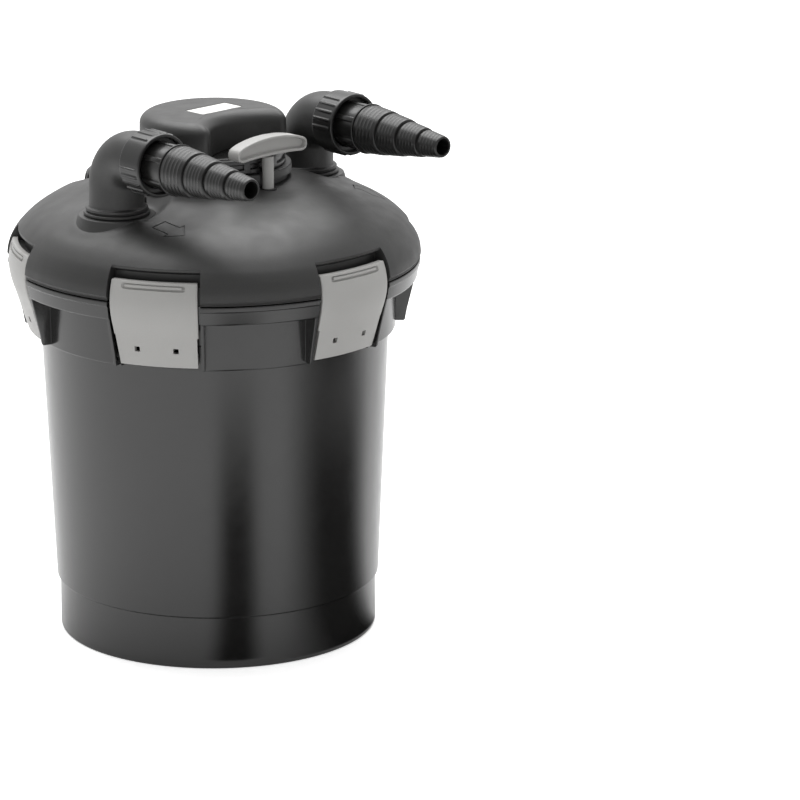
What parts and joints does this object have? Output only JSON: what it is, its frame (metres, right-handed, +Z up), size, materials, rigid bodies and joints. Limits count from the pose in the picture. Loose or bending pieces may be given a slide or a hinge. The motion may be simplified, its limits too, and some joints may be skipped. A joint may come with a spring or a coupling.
{
  "type": "pond pressure filter",
  "caption": "Tapered tank with a domed lid held by hinged clips, swivelling hose elbows, a capped drain port, a foam-squeezing pull handle and a lamp head.",
  "frame": {"origin": "centre of the tank's underside, on the floor", "axes": "+Z up along the tank's axis, -Y towards the pull handle's side, +X towards the inlet port"},
  "size_m": [0.3812, 0.381, 0.4975],
  "materials": {
    "shell": "satin black moulded plastic",
    "lid": "finely textured black moulded plastic",
    "fitting": "semi-gloss black moulded plastic",
    "grey": "satin warm light grey plastic",
    "rubber": "matte black rubber",
    "white": "matte white plastic",
    "blue_foam": "open-cell reticulated foam",
    "red_foam": "open-cell reticulated foam",
    "quartz": "clear quartz glass",
    "zinc": "zinc-plated steel"
  },
  "bodies": {
    "tank": {"tank_shell": "shell"},
    "clip_front": {"clip_1": "grey"},
    "clip_front_right": {"clip_2": "grey"},
    "clip_back_right": {"clip_3": "grey"},
    "clip_back": {"clip_4": "grey"},
    "clip_back_left": {"clip_5": "grey"},
    "clip_front_left": {"clip_6": "grey"},
    "lid": {"lid_shell": "lid", "lid_seal": "rubber", "rod_bush": "fitting", "rod_seal": "rubber", "top_plate": "shell", "centre_tube": "shell", "foam_1": "blue_foam", "foam_2": "blue_foam", "foam_3": "blue_foam", "foam_4": "red_foam", "foam_5": "red_foam"},
    "elbow_out": {"elbow_out": "lid", "port_seal_out": "rubber", "tail_washer_out": "rubber", "hose_tail_out": "fitting"},
    "elbow_in": {"elbow_in": "lid", "port_seal_in": "rubber", "tail_washer_in": "rubber", "hose_tail_in": "fitting"},
    "nut_out": {"union_nut_out": "fitting"},
    "nut_in": {"union_nut_in": "fitting"},
    "drain_cap": {"drain_cap": "fitting", "drain_seal": "rubber"},
    "pull_handle": {"handle_grip": "grey", "pull_rod": "grey", "rod_nut": "zinc", "pressure_plate": "shell"},
    "bayonet_ring": {"bayonet_ring": "fitting"},
    "lamp_head": {"head_cap": "lid", "head_label": "white", "lamp_carrier": "shell", "cap_screw_1": "zinc", "cap_screw_2": "zinc", "cap_screw_3": "zinc", "carrier_seal": "rubber", "quartz_sleeve": "quartz", "sleeve_seal": "rubber", "sleeve_nut": "shell", "uvc_lamp": "white", "lamp_socket": "white", "ballast": "white", "cable_gland": "shell", "power_cable": "rubber", "mains_plug": "rubber"}
  },
  "joints": [
    {"name": "clip_front_hinge", "type": "hinge", "parent": "tank", "child": "clip_front", "pos_m": [0, -0.1682, 0.2965], "axis": [1, 0, 0], "range_deg": [0, 110]},
    {"name": "clip_front_right_hinge", "type": "hinge", "parent": "tank", "child": "clip_front_right", "pos_m": [0.14567, -0.0841, 0.2965], "axis": [0.5, 0.866, 0], "range_deg": [0, 110]},
    {"name": "clip_back_right_hinge", "type": "hinge", "parent": "tank", "child": "clip_back_right", "pos_m": [0.14567, 0.0841, 0.2965], "axis": [-0.5, 0.866, 0], "range_deg": [0, 110]},
    {"name": "clip_back_hinge", "type": "hinge", "parent": "tank", "child": "clip_back", "pos_m": [0, 0.1682, 0.2965], "axis": [-1, 0, 0], "range_deg": [0, 110]},
    {"name": "clip_back_left_hinge", "type": "hinge", "parent": "tank", "child": "clip_back_left", "pos_m": [-0.14567, 0.0841, 0.2965], "axis": [-0.5, -0.866, 0], "range_deg": [0, 110]},
    {"name": "clip_front_left_hinge", "type": "hinge", "parent": "tank", "child": "clip_front_left", "pos_m": [-0.14567, -0.0841, 0.2965], "axis": [0.5, -0.866, 0], "range_deg": [0, 110]},
    {"name": "lid_lift", "type": "slide", "parent": "tank", "child": "lid", "axis": [0, 0, 1], "range_m": [0, 0.36]},
    {"name": "elbow_out_swivel", "type": "hinge", "parent": "lid", "child": "elbow_out", "pos_m": [-0.119, 0, 0.412], "axis": [0, 0, 1], "range_deg": [-130, 20]},
    {"name": "elbow_in_swivel", "type": "hinge", "parent": "lid", "child": "elbow_in", "pos_m": [0.119, 0, 0.412], "axis": [0, 0, 1], "range_deg": [-12, 130]},
    {"name": "nut_out_turn", "type": "hinge", "parent": "elbow_out", "child": "nut_out", "pos_m": [-0.119, 0, 0.4676], "axis": [-0.0732, -0.9973, 0], "continuous": true},
    {"name": "nut_in_turn", "type": "hinge", "parent": "elbow_in", "child": "nut_in", "pos_m": [0.119, 0, 0.4676], "axis": [-0.0732, -0.9973, 0], "continuous": true},
    {"name": "drain_cap_turn", "type": "hinge", "parent": "lid", "child": "drain_cap", "pos_m": [0, 0.135, 0.412], "axis": [0, 0, 1], "continuous": true},
    {"name": "handle_pull", "type": "slide", "parent": "lid", "child": "pull_handle", "axis": [0, 0, 1], "range_m": [0, 0.08], "deforming": ["foam_1", "foam_2", "foam_3", "foam_4", "foam_5"]},
    {"name": "bayonet_turn", "type": "hinge", "parent": "lid", "child": "bayonet_ring", "pos_m": [0, 0, 0.4484], "axis": [0, 0, 1], "range_deg": [0, 30]},
    {"name": "lamp_head_lift", "type": "slide", "parent": "lid", "child": "lamp_head", "axis": [0, 0, 1], "range_m": [0, 0.33]}
  ]
}
